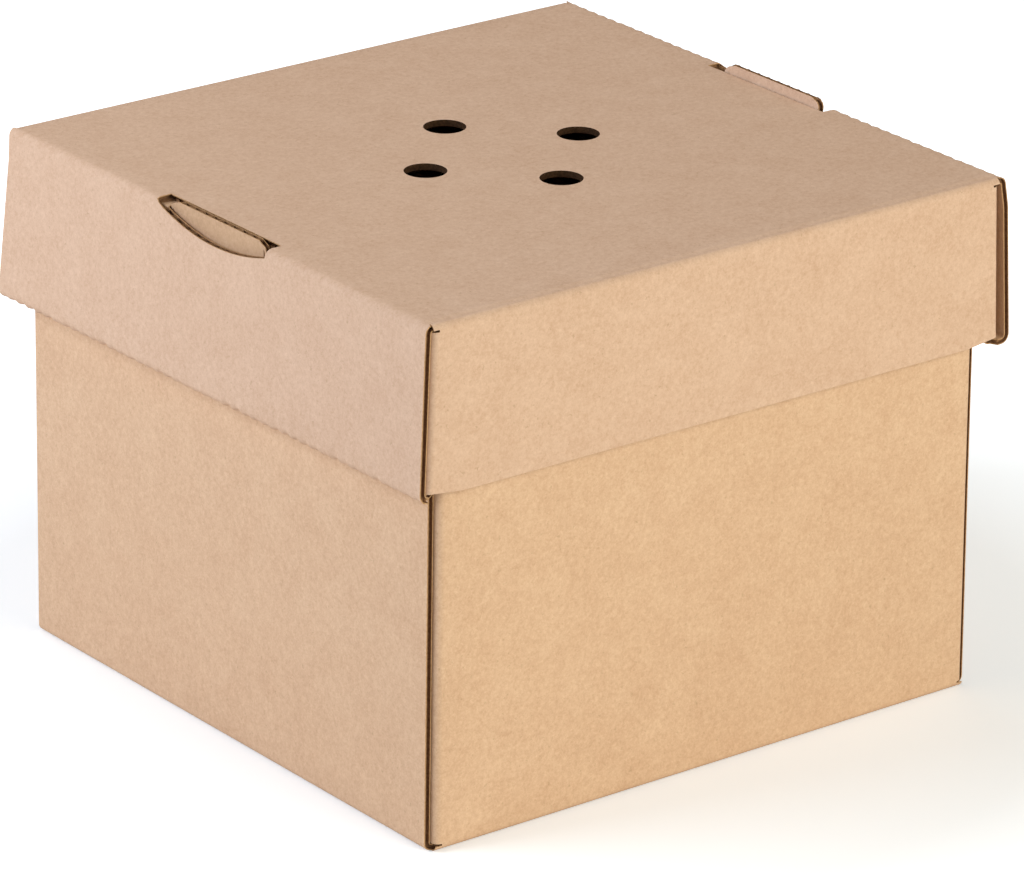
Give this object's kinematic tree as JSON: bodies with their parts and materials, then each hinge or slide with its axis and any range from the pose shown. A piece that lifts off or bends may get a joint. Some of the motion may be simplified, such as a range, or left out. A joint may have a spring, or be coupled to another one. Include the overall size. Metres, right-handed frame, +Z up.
{
  "type": "cardboard tray box",
  "caption": "Square corrugated card tray box with roll-over double side walls and a deep vented lid, locked by tabs in half-moon slots, that lifts straight off.",
  "frame": {"origin": "middle of the box's underside, on the surface that it stands on", "axes": "+Z up, the way the lid lifts; X runs across the double side walls with the lock tabs, and Y across the single walls"},
  "size_m": [0.1632, 0.1544, 0.1222],
  "materials": {
    "tray_board": "matte",
    "lid_board": "matte"
  },
  "bodies": {
    "tray": {"tray": "tray_board"},
    "lid": {"lid": "lid_board"}
  },
  "joints": [
    {"name": "lid_lift", "type": "slide", "parent": "tray", "child": "lid", "axis": [0, 0, 1], "range_m": [0, 0.12]}
  ]
}
